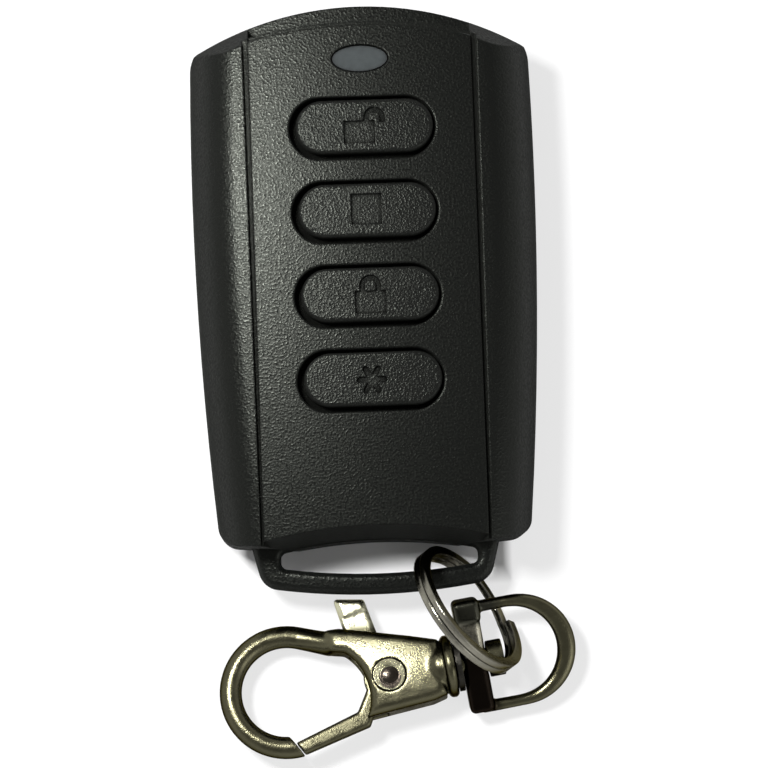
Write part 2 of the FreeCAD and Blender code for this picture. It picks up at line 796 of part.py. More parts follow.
def make_key_loop():
    """The key loop: a plate with the slot, all its edges rounded, rooted in the end wall of the case."""
    body = new_body("key_loop_form")
    sketch = new_sketch(body, "key_loop_outline", lift="loop_bottom_height")
    points = [("-loop_low_half", "-loop_low_end"), ("loop_low_half", "-loop_low_end"),
              ("loop_root_half", "-loop_root"), ("-loop_root_half", "-loop_root")]
    outline(sketch, points, {0: ("loop_end_radius", -1)})
    plate = pad(body, "key_loop_plate", sketch, "parting_height - loop_bottom_height")
    doc.recompute()
    low_end = -size("loop_low_end")
    low = edges_of(plate.Shape, lambda edge: is_upright(edge) and edge.CenterOfMass.y < low_end + 0.5)
    dress(body, "Fillet", "key_loop_corners", plate, low, "loop_corner")
    opening = slot_outline(new_sketch(body, "key_slot_outline", lift="parting_height + 1"))
    hole = pocket(body, "key_slot", opening)
    doc.recompute()
    near_end = size("slot_half") - size("slot_end_round")
    far_end = size("loop_low_half") - size("slot_x")
    corners = edges_of(hole.Shape, lambda edge: is_upright(edge) and edge.CenterOfMass.y > low_end
                       and near_end < abs(edge.CenterOfMass.x - size("slot_x")) < far_end)
    hole = dress(body, "Fillet", "key_slot_ends", hole, corners, "slot_end_round")
    doc.recompute()
    root = -size("loop_root")
    levels = (size("parting_height"), size("loop_bottom_height"))
    rims = edges_of(hole.Shape, lambda edge: edge.BoundBox.YMin < root - 0.01
                    and any(is_level(edge, level) for level in levels))
    dress(body, "Fillet", "key_loop_rims", hole, rims, "loop_edge")
    return body


def make_back_shell():
    body = new_body("back_form")
    base = new_sketch(body, "back_outline", lift="parting_height")
    housing_outline(base)
    block = pad(body, "back_block", base, "parting_height", Reversed=True)
    rounded = round_corners(body, "back", block)
    doc.recompute()
    rim = edges_of(rounded.Shape, lambda edge: is_level(edge, 0))
    dress(body, "Fillet", "back_edge", rounded, rim, "back_round")
    room = new_sketch(body, "back_cavity_outline", lift="parting_height")
    housing_outline(room, "wall", "cavity_top_gap", "cavity_bottom_gap")
    pocket(body, "back_cavity", room, "parting_height - wall")
    parts = [cut("back_with_slot", body, make_slot_cutter()), make_key_loop()]
    wells = []
    for x, y, tag in screw_places():
        parts.append(rod("back_boss_" + tag, x, y, "screw_recess", "boss_radius",
                         "parting_height - screw_recess"))
        wells.append(rod("screw_hole_" + tag, x, y, "0", "screw_radius + screw_gap", "thickness"))
        wells.append(rod("screw_well_" + tag, x, y, "-1", "screw_head_radius + screw_gap",
                         "screw_head_top + 1"))
    outer = rod("cell_rib_outer", "0", "cell_place", "wall", "cell_radius + cell_gap + cell_rib",
                "cell_rib_height")
    inner = rod("cell_rib_inner", "0", "cell_place", "0", "cell_radius + cell_gap", "thickness")
    parts.append(cut("cell_rib_ring", outer, inner))
    for x, y, tag in post_places():
        parts.append(rod("board_post_" + tag, x, y, "wall / 2", "post_width", "board_height - wall / 2"))
        parts.append(rod("board_pin_" + tag, x, y, "wall", "board_pin", "board_top - wall"))
    return cut("back_shell", join("back_with_bosses", parts), join("back_wells", wells))


# Buttons, their pictograms and the switches below them
def draw_open_lock(sketch, place):
    """Open padlock: the shackle stands to the right on one leg."""
    def spot(x, y):
        return x, "(%s) + (%s)" % (place, y)
    left, low, top = "open_lock_left", "open_lock_low", "open_lock_low + lock_body"
    right = "open_lock_left + lock_width"
    near, far = "open_shackle_x - shackle_radius", "open_shackle_x + shackle_radius"
    inner_near, inner_far = near + " + shackle_bar", far + " - shackle_bar"
    points = [spot(left, low), spot(right, low), spot(right, top), spot(inner_near, top),
              spot(inner_near, "open_shackle_y"), spot(inner_far, "open_shackle_y"),
              spot(inner_far, "open_shackle_foot"), spot(far, "open_shackle_foot"),
              spot(far, "open_shackle_y"), spot(near, "open_shackle_y"), spot(near, top), spot(left, top)]
    outline(sketch, points, {4: ("half", 1), 8: ("half", -1)})


def draw_shut_lock(sketch, place):
    """Closed padlock: the shackle stands with both legs on the block."""
    def spot(x, y):
        return x, "(%s) + (%s)" % (place, y)
    left, low, top = "shut_lock_left", "shut_lock_low", "shut_lock_low + lock_body"
    right = "shut_lock_left + lock_width"
    near, far = "shut_shackle_x - shackle_radius", "shut_shackle_x + shackle_radius"
    points = [spot(left, low), spot(right, low), spot(right, top), spot(far, top),
              spot(far, "shut_shackle_y"), spot(near, "shut_shackle_y"), spot(near, top), spot(left, top)]
    outline(sketch, points, {4: ("half", -1)})
    near, far = near + " + shackle_bar", far + " - shackle_bar"
    points = [spot(near, top), spot(far, top), spot(far, "shut_shackle_y"), spot(near, "shut_shackle_y")]
    outline(sketch, points, {2: ("half", -1)})


def draw_square(sketch, place):
    left, right = "square_left", "square_left + square_side"
    low, high = "(%s) + square_low" % place, "(%s) + square_low + square_side" % place
    outline(sketch, [(left, low), (right, low), (right, high), (left, high)])


def draw_star_arm(sketch, place):
    """One bar of the star, drawn about the sketch's own origin in the middle of the cap."""
    bind(sketch, ".AttachmentOffset.Base.x", "star_x")
    bind(sketch, ".AttachmentOffset.Base.y", place)
    pill(sketch, "0", "0", "star_length", "star_bar")


BUTTONS = [("open", draw_open_lock), ("stop", draw_square),
           ("close", draw_shut_lock), ("aux", draw_star_arm)]


def make_button(name, index, draw_icon):
    """A hard cap: pill stem with a rounded rim, a retaining flange and a sunk pictogram."""
    body = new_body("button_" + name)
    place = button_place(index)
    stem = new_sketch(body, name + "_stem_outline", lift="plunger_top")
    pill(stem, "cap_shift_x", "(%s) + cap_shift_y" % place, "cap_length", "cap_width")
    cap = pad(body, name + "_stem", stem, "cap_top - plunger_top")
    doc.recompute()
    rim = edges_of(cap.Shape, lambda edge: is_level(edge, size("cap_top")))
    dress(body, "Fillet", name + "_rim", cap, rim, "button_round")
    flange = new_sketch(body, name + "_flange_outline", lift="plunger_top")
    pill(flange, "0", place, "button_length + 2 * flange_margin", "button_width + 2 * flange_margin")
    pad(body, name + "_flange", flange, "flange_height")
    icon = new_sketch(body, name + "_icon_outline", lift="cap_top")
    draw_icon(icon, place)
    sunk = pocket(body, name + "_icon", icon, "icon_depth")
    if draw_icon is draw_star_arm:
        star = body.newObject("PartDesign::PolarPattern", name + "_star")
        star.Originals = [sunk]
        star.Axis = (icon, ["N_Axis"])
        star.Angle = 120
        star.Occurrences = 3
        body.Tip = star
    return body


def make_switch(name, index):
    """Tactile switch: square housing with cut corners and a round bore for its plunger."""
    body = new_body("switch_" + name)
    place = button_place(index)
    base = new_sketch(body, name + "_switch_outline", lift="board_top")
    half = "switch_size / 2"
    low, high = "(%s) - %s" % (place, half), "(%s) + %s" % (place, half)
    outline(base, [("-" + half, low), (half, low), (half, high), ("-" + half, high)])
    block = pad(body, name + "_switch_block", base, "switch_height")
    doc.recompute()
    corners = edges_of(block.Shape, is_upright)
    dress(body, "Chamfer", name + "_switch_corners", block, corners, "switch_size / 10")
    bore = new_sketch(body, name + "_switch_bore_outline", lift="switch_top")
    circle(bore, "0", place, "plunger_radius + plunger_gap")
    pocket(body, name + "_switch_bore", bore, "plunger_bore")
    return body


def make_plunger(name, index):
    return rod("plunger_" + name, "0", button_place(index), "plunger_foot", "plunger_radius",
               "plunger_top - plunger_foot")


# Indicator
def make_light_pipe():
    """Oval window with a collar under the wall and a foot over the light."""
    body = new_body("light_pipe")
    stem = new_sketch(body, "pipe_outline", lift="pipe_foot")
    ellipse(stem, "0", "window_place", "window_length / 2", "window_width / 2")
    pad(body, "pipe_stem", stem, "thickness - window_sink - pipe_foot")
    collar = new_sketch(body, "pipe_collar_outline", lift="ceiling - pipe_collar")
    ellipse(collar, "0", "window_place", "window_length / 2 + pipe_margin",
            "window_width / 2 + pipe_margin")
    pad(body, "pipe_collar_pad", collar, "pipe_collar")
    return body


# Board and the parts it carries
def make_board():
    body = new_body("circuit_board")
    base = new_sketch(body, "board_outline", lift="board_height")
    points = [("-board_half_width", "-board_low_end"), ("board_half_width", "-board_low_end"),
              ("board_half_width", "board_high_end"), ("-board_half_width", "board_high_end")]
    outline(base, points, {2: ("board_end_radius", -1)})
    slab = pad(body, "board_slab", base, "board_thickness")
    doc.recompute()
    corners = edges_of(slab.Shape, is_upright)
    dress(body, "Fillet", "board_corners", slab, corners, "board_corner")
    holes = new_sketch(body, "board_hole_outlines", lift="board_top")
    for x, y, tag in post_places():
        circle(holes, x, y, "board_pin + running_gap")
    pocket(body, "board_pin_holes", holes)
    return body


def make_coin_cell():
    can = rod("cell_can", "0", "cell_place", "cell_bottom", "cell_radius", "cell_height - cell_cap_height")
    cap = rod("cell_cap", "0", "cell_place", "cell_bottom", "cell_cap_radius", "cell_height")
    return join("coin_cell", [can, cap])


def make_battery_clip():
    """Positive clip: an upright tab against the rim of the cell and a foot under the board."""
    tab = box("clip_tab", "cell_radius + contact_thickness / 2", "cell_place", "board_height - clip_height",
              "contact_thickness", "clip_width", "clip_height")
    foot = box("clip_foot", "cell_radius + contact_thickness * 2", "cell_place",
               "board_height - contact_thickness", "contact_thickness * 4", "clip_width",
               "contact_thickness")
    return join("battery_clip", [tab, foot])


def make_battery_contact():
    """Negative contact: a leaf bent down from the board onto the cap of the cell."""
    body = new_body("battery_contact")
    sketch = new_sketch(body, "contact_profile", "XZ_Plane", "-(cell_place)")
    thick, under = "contact_thickness", "board_height - contact_thickness"
    flat_end, tip = "contact_touch + contact_flat", "contact_touch + contact_flat + contact_tip"
    lifted = "cell_top + contact_lift"
    outline(sketch, [("-contact_root", under), ("-contact_bend", under), ("contact_touch", "cell_top"),
                     (flat_end, "cell_top"), (tip, lifted), (tip, lifted + " + " + thick),
                     (flat_end, "cell_top + " + thick), ("contact_touch", "cell_top + " + thick),
                     ("-contact_bend", "board_height"), ("-contact_root", "board_height")])
    pad(body, "contact_leaf", sketch, "contact_width", Midplane=True)
    return body


def make_encoder_chip():
    """Small-outline chip under the board, four leads on each long side."""
    parts = [box("chip_case", "0", "chip_y", "board_height - chip_height", "chip_length", "chip_width",
                 "chip_height - lead_height / 2")]
    for place in range(4):
        parts.append(box("chip_lead_%d" % place, "(%d - 1.5) * lead_pitch" % place, "chip_y",
                         "board_height - lead_height", "lead_width", "chip_width + 2 * lead_reach",
                         "lead_height"))
    return join("encoder_chip", parts)


def make_crystal():
    """Cylindrical quartz can lying under the board."""
    made = rod("quartz_crystal", "crystal_x", "crystal_y", "board_height - crystal_radius",
               "crystal_radius", "crystal_length")
    made.Placement = FreeCAD.Placement(made.Placement.Base, FreeCAD.Rotation(V(0, 1, 0), 90))
    bind(made, ".Placement.Base.x", "crystal_x - crystal_length / 2")
    return made


def make_trimmer():
    """Trimmer of the radio stage, with a slot for the screwdriver."""
    drum = rod("trimmer_drum", "trimmer_x", "trimmer_y", "board_height - trimmer_height", "trimmer_radius",
               "trimmer_height")
    slit = box("trimmer_slit", "trimmer_x", "trimmer_y", "board_height - trimmer_height - trimmer_slit",
               "1.4 * trimmer_radius", "trimmer_slit", "2 * trimmer_slit")
    return cut("trimmer", drum, slit)


def make_chip_parts():
    """Chip resistors and capacitors on the top of the board."""
    spots = [(-1, 5), (-1, 4), (1, 5), (1, 1), (-1, 0), (-1, -1), (1, -3), (1, -4), (-1, -5)]
    parts = [box("small_part_%d" % place, "%d * small_x" % side, "%d * small_pitch" % row, "board_top",
                 "small_length", "small_width", "small_height") for place, (side, row) in enumerate(spots)]
    made = doc.addObject("Part::Compound", "chip_parts")
    made.Links = parts
    return made


def make_antenna():
    """Flat wire loop round three sides of the board."""
    body = new_body("wire_antenna")
    sketch = new_sketch(body, "antenna_outline", lift="board_top")
    out, inner = "antenna_half", "antenna_half - antenna_wire"
    low, floor_line = "-antenna_low", "antenna_wire - antenna_low"
    outline(sketch, [("-" + out, low), (out, low), (out, "antenna_high"), (inner, "antenna_high"),
                     (inner, floor_line), ("-(%s)" % inner, floor_line), ("-(%s)" % inner, "antenna_high"),
                     ("-" + out, "antenna_high")])
    pad(body, "antenna_strip", sketch, "antenna_wire")
    return body


def make_screws():
    """Four identical pan-head screws with a cross recess."""
    cross = (("cross_length", "cross_width"), ("cross_width", "cross_length"))
    screws = []
    for x, y, tag in screw_places():
        head = rod("screw_head_" + tag, x, y, "screw_recess", "screw_head_radius", "screw_head_height")
        shank = rod("screw_shank_" + tag, x, y, "screw_head_top", "screw_radius",
                    "screw_length - screw_head_height")
        tip = doc.addObject("Part::Chamfer", "screw_turned_" + tag)
        tip.Base = join("screw_blank_" + tag, [head, shank])
        doc.recompute()
        ends = (size("screw_end"), size("screw_recess"))
        amounts = (size("screw_tip"), size("screw_tip") / 2)
        rims = [(i + 1, amount, amount) for i, edge in enumerate(tip.Base.Shape.Edges)
                for level, amount in zip(ends, amounts) if is_level(edge, level)]
        tip.Edges = rims
        slots = [box("screw_slot_%s_%d" % (tag, turn), x, y, "0", *lengths, "screw_recess + cross_depth")
                 for turn, lengths in enumerate(cross)]
        screws.append(cut("screw_" + tag, tip, join("screw_cross_" + tag, slots)))
    made = doc.addObject("Part::Compound", "case_screws")
    made.Links = screws
    return made


# Split ring: a flat strip of two turns with one jog between its layers
def make_split_ring():
    body = new_body("split_ring")

    def strip_profile(name, low, turn):
        sketch = new_sketch(body, name, "XZ_Plane")
        sketch.AttachmentOffset = FreeCAD.Placement(V(0, 0, 0), FreeCAD.Rotation(V(0, 1, 0), turn))
        near, high = "ring_radius - ring_depth", "(%s) + ring_strip" % low
        return outline(sketch, [(near, low), ("ring_radius", low), ("ring_radius", high), (near, high)])

    low = "-ring_strip - ring_gap / 2"
    first = strip_profile("ring_jog_profile", low, 0)
    jog = body.newObject("PartDesign::AdditiveHelix", "ring_jog")
    jog.Profile = first
    jog.ReferenceAxis = (first, ["V_Axis"])
    jog.Mode = 2
    bind(jog, "Height", "ring_layer")
    bind(jog, "Turns", "ring_jog / 360")
    turn = "360 - ring_jog - ring_end_gap"
    low_turn = feature(body, "Revolution", "ring_low_turn",
                       strip_profile("ring_low_profile", low, 0), Angle=turn)
    high_turn = feature(body, "Revolution", "ring_high_turn",
                        strip_profile("ring_high_profile", "ring_gap / 2", size("ring_jog")), Angle=turn)
    for made, reverse in ((low_turn, True), (high_turn, False)):
        made.ReferenceAxis = (made.Profile[0], ["V_Axis"])
        made.Reversed = reverse
    turn = FreeCAD.Rotation(V(0, 0, 1), size("ring_heading"))
    turn = turn * FreeCAD.Rotation(V(0, 1, 0), size("ring_tilt"))
    turn = turn * FreeCAD.Rotation(V(0, 0, 1), size("ring_jog_place"))
    return set_place(body, turn, "ring_x", "ring_y", "ring_z")


# Swivel clasp
def set_place(thing, turn, x, y, z):
    thing.Placement = FreeCAD.Placement(V(0, 0, 0), turn)
    bind(thing, ".Placement.Base.x", x)
    bind(thing, ".Placement.Base.y", y)
    bind(thing, ".Placement.Base.z", z)
    return thing


def set_in_clasp(thing, roll="clasp_roll"):
    """Moves a piece from the clasp's own frame to its place beside the fob."""
    turn = FreeCAD.Rotation(V(0, 0, 1), size("clasp_turn")) * FreeCAD.Rotation(V(1, 0, 0), size(roll))
    return set_place(thing, turn, "clasp_x", "clasp_y", "clasp_height")


def turned(body, name, points):
    """A profile turned about the swivel axis."""
    sketch = new_sketch(body, name + "_profile")
    outline(sketch, points)
    made = feature(body, "Revolution", name, sketch, Angle="360")
    made.ReferenceAxis = (sketch, ["H_Axis"])
    return made


def bent_rod(name, x, y, radius, thickness, start, sweep):
    """Round wire bent to an arc in the plane of the clasp."""
    made = doc.addObject("Part::Torus", name)
    bind(made, "Radius1", radius)
    bind(made, "Radius2", thickness + " / 2")
    bind(made, "Angle3", sweep)
    return set_place(made, FreeCAD.Rotation(V(0, 0, 1), number_of(start)), x, y, "0")


def joint_side(sketch, side):
    """Everything beyond the slanted joint, past the hook's end (side -1) or the gate's end (side 1)."""
    near = "%d * joint_gap / 2" % side
    far = "%d * hook_radius" % -side
    points = []
    for away, along in ((near, "hook_wire"), (near, "-hook_wire"), (far, "-hook_wire"), (far, "hook_wire")):
        points.append(("joint_x + (%s) * joint_along_x - 2 * (%s) * joint_along_y" % (away, along),
                       "joint_y + (%s) * joint_along_y + 2 * (%s) * joint_along_x" % (away, along)))
    return outline(sketch, points)


def hook_root(x, y, turn):
    """The hook's round wire swells to the height of the body where it runs in."""
    heading = FreeCAD.Rotation(V(0, 0, 1), number_of(turn)) * FreeCAD.Rotation(V(0, 1, 0), 90)
    ring = doc.addObject("Part::Circle", "hook_root_round")
    bind(ring, "Radius", "hook_wire / 2")
    set_place(ring, heading, x, y, "0")
    oval = doc.addObject("Part::Ellipse", "hook_root_oval")
    bind(oval, "MajorRadius", "hook_root_height")
    bind(oval, "MinorRadius", "hook_root_width")
    end_x = "%s + hook_root_length * cos(%s)" % (x, turn)
    end_y = "%s + hook_root_length * sin(%s)" % (y, turn)
    set_place(oval, heading, end_x, end_y, "0")
    made = doc.addObject("Part::Loft", "hook_root")
    made.Sections = [ring, oval]
    made.Solid = True
    return made


def make_clasp_body():
    """Hook, body, neck, collar and swivel post: one casting with a slot for the gate."""
    plate = new_body("clasp_plate")
    sketch = cast_outline(new_sketch(plate, "clasp_plate_outline"), "plate", {0: ("hook_radius", 1)})
    slab = pad(plate, "clasp_plate_pad", sketch, "body_thick", Midplane=True)
    doc.recompute()
    rims = edges_of(slab.Shape, lambda edge: edge.BoundBox.ZLength < 0.01)
    dress(plate, "Fillet", "clasp_plate_rounds", slab, rims, "body_round")
    head_end = "head_start + post_head_length"
    turned(plate, "clasp_post", [
        ("neck_start", "0"), ("neck_start", "neck_root_radius"),
        ("neck_start + neck_taper", "neck_radius"), ("collar_start", "neck_radius"),
        ("collar_start", "collar_radius - collar_round"), ("collar_start + collar_round", "collar_radius"),
        ("collar_end - collar_round", "collar_radius"), ("collar_end", "collar_radius - collar_round"),
        ("collar_end", "post_radius"), ("head_start", "post_radius"), ("head_start", "post_head_radius"),
        (head_end, "post_head_radius"), (head_end, "0")])
    bend = bent_rod("hook_bend", "hook_x", "hook_y", "hook_radius", "hook_wire", "hook_root_turn",
                    "hook_sweep")
    root_x = "hook_x + hook_radius * cos(hook_root_turn)"
    root_y = "hook_y + hook_radius * sin(hook_root_turn)"
    tip_cutter = new_body("hook_tip_cutter")
    pad(tip_cutter, "hook_tip_pad", joint_side(new_sketch(tip_cutter, "hook_tip_side"), -1), "thickness",
        Midplane=True)
    whole = join("clasp_casting", [plate, cut("hook_cut", bend, tip_cutter),
                                   hook_root(root_x, root_y, "hook_root_turn - 90")])
    room = new_body("gate_room")
    hub = new_sketch(room, "gate_room_hub")
    circle(hub, "0", "0", "slot_hub")
    pad(room, "gate_room_round", hub, "slot_height", Midplane=True)
    swing = cast_outline(new_sketch(room, "gate_room_swing"), "room")
    pad(room, "gate_room_sweep", swing, "slot_height", Midplane=True)
    tools = [room,
             rod("rivet_hole", "0", "0", "-thickness", "rivet_radius + running_gap", "2 * thickness"),
             rod("rivet_seat_front", "0", "0", "rivet_seat_floor", "rivet_seat_radius", "thickness"),
             rod("rivet_seat_back", "0", "0", "-rivet_seat_floor - thickness", "rivet_seat_radius",
                 "thickness")]
    return set_in_clasp(cut("clasp_body", whole, join("clasp_tools", tools)))


def make_clasp_gate():
    """Gate arm, hub and thumb lever in one casting, turning on the rivet."""
    body = new_body("clasp_gate")
    arm = cast_outline(new_sketch(body, "gate_arm_outline"), "gate")
    made = pad(body, "gate_arm_pad", arm, "gate_thick", Midplane=True)
    doc.recompute()
    lever_at = size("gate_y_6_at") - 0.5
    ends = edges_of(made.Shape, lambda edge: is_upright(edge) and edge.CenterOfMass.y > lever_at)
    made = dress(body, "Fillet", "lever_rounds", made, ends, "lever_round")
    doc.recompute()
    rims = edges_of(made.Shape, lambda edge: is_level(edge, size("gate_thick") / 2)
                    or is_level(edge, -size("gate_thick") / 2))
    dress(body, "Fillet", "gate_rounds", made, rims, "gate_round")
    raised = cast_outline(new_sketch(body, "lever_pad_outline"), "lever")
    pad(body, "lever_pad_pad", raised, "gate_thick + 2 * lever_pad", Midplane=True)
    hub = new_sketch(body, "gate_hub_outline")
    circle(hub, "0", "0", "gate_hub")
    pad(body, "gate_hub_pad", hub, "gate_thick", Midplane=True)
    side = joint_side(new_sketch(body, "gate_joint_side", lift="thickness / 2"), 1)
    pocket(body, "gate_joint", side)
    bore = new_sketch(body, "gate_bore_outline", lift="thickness / 2")
    circle(bore, "0", "0", "rivet_radius + running_gap")
    pocket(body, "gate_bore", bore)
    seat = new_sketch(body, "spring_seat_outline", lift="gate_thick / 2")
    circle(seat, "0", "0", "spring_seat_radius")
    pocket(body, "spring_seat", seat, "spring_seat_depth")
    return set_in_clasp(body)


def make_rivet():
    """Gate rivet: a pin with two low heads, each a flat ring round a small dome."""
    body = new_body("gate_rivet")
    sketch = new_sketch(body, "rivet_profile", "XZ_Plane")
    rim = "rivet_dome + rivet_groove"
    sunk = "rivet_top - rivet_groove_depth"
    crown = sunk + " + rivet_dome_height"
    upper = [("rivet_radius", "rivet_seat_floor"), ("rivet_head_radius", "rivet_seat_floor"),
             ("rivet_head_radius", "rivet_top"), (rim, "rivet_top"), (rim, sunk), ("rivet_dome", sunk),
             ("0", crown)]
    lower = [(x, "-(%s)" % y) for x, y in reversed(upper)]
    outline(sketch, lower + upper, {0: ("dome_radius", -1), 12: ("dome_radius", -1)})
    made = feature(body, "Revolution", "rivet_turned", sketch, Angle="360")
    made.ReferenceAxis = (sketch, ["V_Axis"])
    return set_in_clasp(body)


def make_gate_spring():
    """Return spring of the gate: a short torsion coil of square wire round the rivet."""
    body = new_body("gate_spring")
    sketch = new_sketch(body, "spring_profile", "XZ_Plane")
    near, far = "spring_radius - spring_wire / 2", "spring_radius + spring_wire / 2"
    low, high = "spring_low - spring_wire / 2", "spring_low + spring_wire / 2"
    outline(sketch, [(near, low), (far, low), (far, high), (near, high)])
    coil = body.newObject("PartDesign::AdditiveHelix", "spring_coil")
    coil.Profile = sketch
    coil.ReferenceAxis = (sketch, ["V_Axis"])
    coil.Mode = 1
    bind(coil, "Pitch", "spring_pitch")
    bind(coil, "Turns", "spring_turns")
    return set_in_clasp(body)


def make_washer():
    body = new_body("swivel_washer")
    washer_end = "washer_start + washer_length"
    bore = "post_radius + running_gap"
    turned(body, "washer_ring", [("washer_start", bore), ("washer_start", "washer_radius"),
                                 (washer_end, "washer_radius"), (washer_end, bore)])
    return set_in_clasp(body)


def rounded_bar(name, left, right, low, high, thick):
    """A cast bar with all its edges rounded."""
    body = new_body(name)
    sketch = new_sketch(body, name + "_outline")
    outline(sketch, [(left, low), (right, low), (right, high), (left, high)])
    block = pad(body, name + "_pad", sketch, thick, Midplane=True)
    doc.recompute()
    dress(body, "Fillet", name + "_rounds", block, edges_of(block.Shape, lambda edge: True), "bar_round")
    return body


def make_swivel_eye():
    """D-shaped eye cast with its cross-bar, turning on the swivel post."""
    loop = new_body("eye_loop")
    middle = "(bar_start + bar_end) / 2"
    low, high = "eye_offset - eye_half", "eye_offset + eye_half"
    sketch = new_sketch(loop, "eye_loop_outline")
    corners = [(middle, low), ("eye_centre", low), ("eye_centre", high), (middle, high)]
    outline(sketch, corners, {1: ("half", -1)})
    pad(loop, "eye_loop_pad", sketch, "eye_thick", Midplane=True)
    back, inner = middle + " + bar_width / 8", "eye_centre - eye_hole_back"
    low, high = low + " + eye_leg", high + " - eye_leg"
    sketch = new_sketch(loop, "eye_hole_outline", lift="thickness / 2")
    outline(sketch, [(back, low), (inner, low), (inner, high), (back, high)], {1: ("half", -1)})
    hole = pocket(loop, "eye_hole", sketch)
    doc.recompute()
    rims = edges_of(hole.Shape, lambda edge: edge.BoundBox.XLength > 0.01)
    dress(loop, "Fillet", "eye_rounds", hole, rims, "eye_edge")
    bar = rounded_bar("eye_bar", "bar_start", "bar_end", "-bar_low", "bar_high", "bar_thick")
    block = rounded_bar("eye_block", "bar_start - block_proud / 4", "bar_end + block_proud",
                        "block_low", "block_high", "bar_thick + 2 * block_proud")
    heading = FreeCAD.Rotation(V(0, 1, 0), 90)
    bore = doc.addObject("Part::Cylinder", "eye_bore")
    bind(bore, "Radius", "post_radius + running_gap")
    bind(bore, "Height", "2 * bar_width")
    set_place(bore, heading, "collar_end", "0", "0")
    return set_in_clasp(cut("swivel_eye", join("eye_casting", [loop, bar, block]), bore), "eye_roll")


# Pieces, in the order they go together
finish_node(make_back_shell(), "back_shell")
finish_node(make_board(), "circuit_board")
finish_node(make_coin_cell(), "coin_cell")
finish_node(make_battery_clip(), "battery_clip")
finish_node(make_battery_contact(), "battery_contact")
finish_node(make_encoder_chip(), "encoder_chip")
finish_node(box("resonator_can", "can_x", "can_y", "board_height - can_height", "can_length", "can_width",
                "can_height"), "resonator_can")
finish_node(make_crystal(), "quartz_crystal")
finish_node(make_trimmer(), "trimmer")
finish_node(make_chip_parts(), "chip_parts")
finish_node(make_antenna(), "wire_antenna")
finish_node(box("status_led", "0", "window_place", "board_top", "led_length", "led_width", "led_height"),
            "status_led")
for index, (name, draw_icon) in enumerate(BUTTONS):
    finish_node(make_switch(name, index), "switch_" + name)
    finish_node(make_plunger(name, index), "plunger_" + name)
    finish_node(make_button(name, index, draw_icon), "button_" + name)
finish_node(make_light_pipe(), "light_pipe")
finish_node(make_front_shell(), "front_shell")
finish_node(make_screws(), "case_screws")
finish_node(make_split_ring(), "split_ring")
finish_node(make_clasp_body(), "clasp_body")
finish_node(make_clasp_gate(), "clasp_gate")
finish_node(make_rivet(), "gate_rivet")
finish_node(make_gate_spring(), "gate_spring")
finish_node(make_washer(), "swivel_washer")
finish_node(make_swivel_eye(), "swivel_eye")


def check_and_write():
    doc.recompute()
    for thing in doc.Objects:
        if "Invalid" in thing.State or "Error" in thing.State:
            raise RuntimeError("%s failed: %s" % (thing.Name, thing.getStatusString()))
    os.makedirs("parts", exist_ok=True)
    for thing in NODES:
        shape = thing.Shape
        if shape.isNull() or not shape.isValid():
            raise RuntimeError("%s has no valid shape" % thing.Label)
        shape.exportStep("parts/%s.step" % thing.Label)


check_and_write()
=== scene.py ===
import math

import bpy
from mathutils import Matrix, Vector


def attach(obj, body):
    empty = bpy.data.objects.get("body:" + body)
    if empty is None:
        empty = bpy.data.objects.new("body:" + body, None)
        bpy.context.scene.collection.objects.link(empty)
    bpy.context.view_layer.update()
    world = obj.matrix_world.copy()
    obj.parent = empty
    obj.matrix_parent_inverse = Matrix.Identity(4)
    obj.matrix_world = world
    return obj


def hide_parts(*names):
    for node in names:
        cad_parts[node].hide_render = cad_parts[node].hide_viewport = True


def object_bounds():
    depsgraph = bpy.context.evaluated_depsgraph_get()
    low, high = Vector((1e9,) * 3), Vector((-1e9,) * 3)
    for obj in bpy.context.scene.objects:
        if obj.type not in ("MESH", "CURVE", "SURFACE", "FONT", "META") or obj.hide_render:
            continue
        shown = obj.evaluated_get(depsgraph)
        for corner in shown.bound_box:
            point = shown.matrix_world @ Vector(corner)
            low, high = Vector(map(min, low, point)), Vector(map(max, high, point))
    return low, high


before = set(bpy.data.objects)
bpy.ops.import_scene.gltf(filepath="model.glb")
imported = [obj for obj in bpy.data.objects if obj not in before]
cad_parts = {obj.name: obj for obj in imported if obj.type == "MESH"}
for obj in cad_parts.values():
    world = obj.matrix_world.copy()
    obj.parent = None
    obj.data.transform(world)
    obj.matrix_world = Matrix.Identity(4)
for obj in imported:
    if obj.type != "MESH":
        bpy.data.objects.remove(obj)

MM = 0.001
cad_box = [list(corner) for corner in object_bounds()]


# Camera: nearly straight above, as the photograph was taken
CAMERA_TARGET = Vector((1.41, -12.58, 13.0)) * MM
CAMERA_DISTANCE = 0.4
CAMERA_TILT = math.radians(5.0)
CAMERA_LEFT = math.radians(1.2)
CAMERA_ROLL = math.radians(2.05)
PIXELS_PER_METRE_AT_TARGET = 1 / (0.11 * MM)
FRAME_WIDTH = 768
SENSOR = 36.0
CLIP_START = 0.01


def make_camera():
    away = Vector((-math.sin(CAMERA_LEFT), -math.sin(CAMERA_TILT) * math.cos(CAMERA_LEFT),
                   math.cos(CAMERA_TILT) * math.cos(CAMERA_LEFT))).normalized()
    right = Vector((0, 1, 0)).cross(away).normalized()
    up = away.cross(right)
    turned_right = right * math.cos(CAMERA_ROLL) - up * math.sin(CAMERA_ROLL)
    turned_up = right * math.sin(CAMERA_ROLL) + up * math.cos(CAMERA_ROLL)
    data = bpy.data.cameras.new("camera")
    data.sensor_width = SENSOR
    focal_pixels = CAMERA_DISTANCE * PIXELS_PER_METRE_AT_TARGET
    data.lens = focal_pixels / FRAME_WIDTH * SENSOR
    data.clip_start = CLIP_START
    camera = bpy.data.objects.new("camera", data)
    turn = Matrix((turned_right, turned_up, away)).transposed().to_4x4()
    camera.matrix_world = Matrix.Translation(CAMERA_TARGET + away * CAMERA_DISTANCE) @ turn
    bpy.context.scene.collection.objects.link(camera)
    bpy.context.scene.camera = camera


make_camera()


